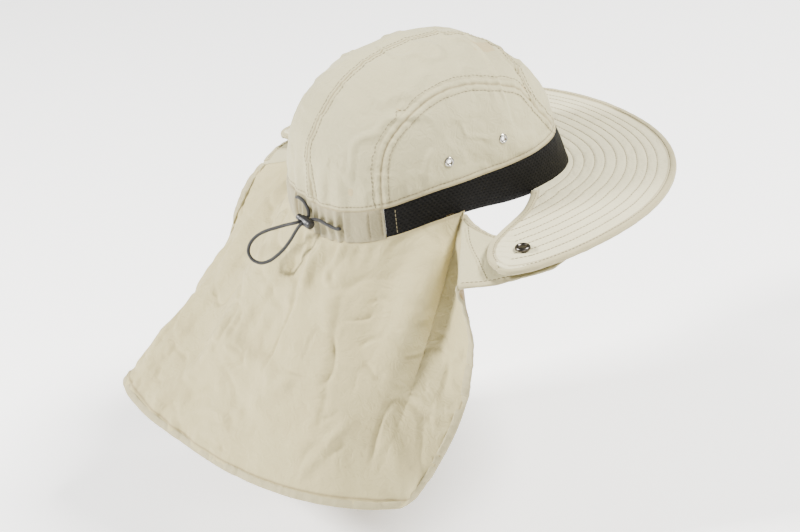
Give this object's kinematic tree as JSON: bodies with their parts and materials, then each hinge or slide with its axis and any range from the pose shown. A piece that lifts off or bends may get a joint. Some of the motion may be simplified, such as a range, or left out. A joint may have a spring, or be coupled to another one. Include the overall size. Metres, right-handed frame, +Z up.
{
  "type": "sun hat",
  "caption": "Cloth sun hat as worn: panelled crown, dark mesh band, wide stitched brim with snap-down tips, ear openings and a long neck flap drawn in by a cord with a toggle.",
  "frame": {"origin": "middle of the head opening, level with its lower edge at the back, where the head holds the hat", "axes": "+Z up out of the head opening through the crown, +Y towards the back and the neck flap, so the brim's front is -Y and the wearer's right is -X"},
  "size_m": [0.3338, 0.4051, 0.2949],
  "materials": {
    "cloth": "light stone-beige woven nylon, slightly wrinkled, matt",
    "tape": "folded woven edge tape, a little darker than the cloth",
    "mesh": "black knitted spacer mesh with rows of oval holes",
    "eyelet_metal": "bright nickel plate",
    "snap_metal": "dark polished nickel",
    "cord": "braided black elastic cord",
    "toggle_plastic": "dark grey moulded plastic, satin"
  },
  "bodies": {
    "root": {"front_panel": "cloth", "top_panel_right": "cloth", "top_panel_left": "cloth", "side_panel_right": "cloth", "side_panel_left": "cloth", "mesh_band": "mesh", "rear_casing": "cloth", "brim": "cloth", "brim_binding": "tape", "neck_flap": "cloth", "flap_binding": "tape", "flap_tab_right": "cloth", "flap_tab_left": "cloth", "ear_binding_right": "tape", "ear_binding_left": "tape", "snap_right": "snap_metal", "snap_left": "snap_metal", "eyelet_right_rear": "eyelet_metal", "eyelet_right_front": "eyelet_metal", "eyelet_left_rear": "eyelet_metal", "eyelet_left_front": "eyelet_metal", "drawcord": "cord", "cord_toggle": "toggle_plastic"}
  },
  "joints": []
}
